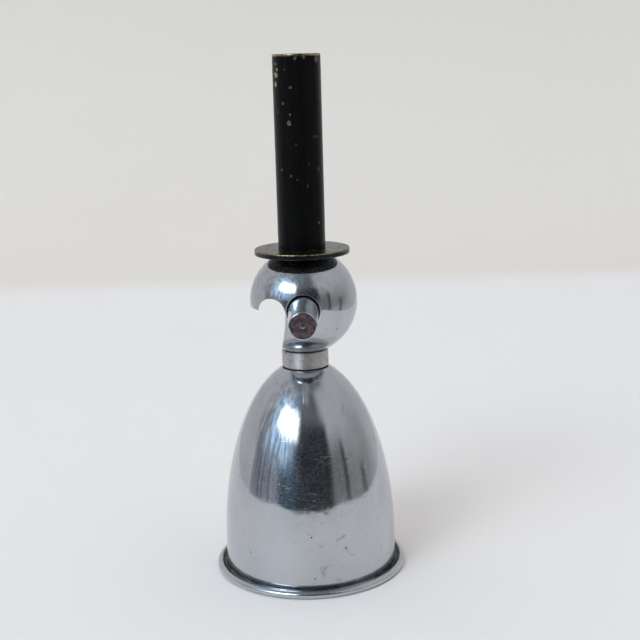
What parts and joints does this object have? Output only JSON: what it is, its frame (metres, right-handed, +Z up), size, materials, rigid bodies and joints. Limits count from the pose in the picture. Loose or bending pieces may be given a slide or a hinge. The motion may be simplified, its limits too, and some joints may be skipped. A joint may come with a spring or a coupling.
{
  "type": "figural bar tool",
  "caption": "Figural bar tool: an upturned measuring cup as body, a ball head with a beak-shaped cap lifter and cross bar, and a tall hat that lifts off a corkscrew.",
  "frame": {"origin": "centre of the cup's rest ring, on the surface that the tool stands on", "axes": "+Z up along the tool's axis, beak notch to -X, cross bar along Y"},
  "size_m": [0.0504, 0.06, 0.134],
  "materials": {
    "chrome_plate": "polished chrome plate with fine scratches",
    "satin_metal": "turned satin",
    "black_on_brass": "worn semi-gloss black over brass",
    "bare_brass": "dull brass",
    "nickel_brass": "turned, thin nickel",
    "bright_steel": "drawn bright wire",
    "black_fibre": "matt"
  },
  "bodies": {
    "body": {"cup_shell": "chrome_plate", "seal_washer": "black_fibre", "cup_screw": "nickel_brass", "lower_gasket": "black_fibre", "neck_collar": "satin_metal", "upper_gasket": "black_fibre", "head_ball": "chrome_plate", "cross_bar": "chrome_plate", "worm_ferrule": "nickel_brass", "worm": "bright_steel"},
    "hat": {"hat_brim": "black_on_brass", "hat_tube": "black_on_brass", "hat_crown": "bare_brass", "hat_liner": "bare_brass"}
  },
  "joints": [
    {"name": "hat_lift", "type": "slide", "parent": "body", "child": "hat", "axis": [0, 0, 1], "range_m": [0, 0.056]}
  ]
}
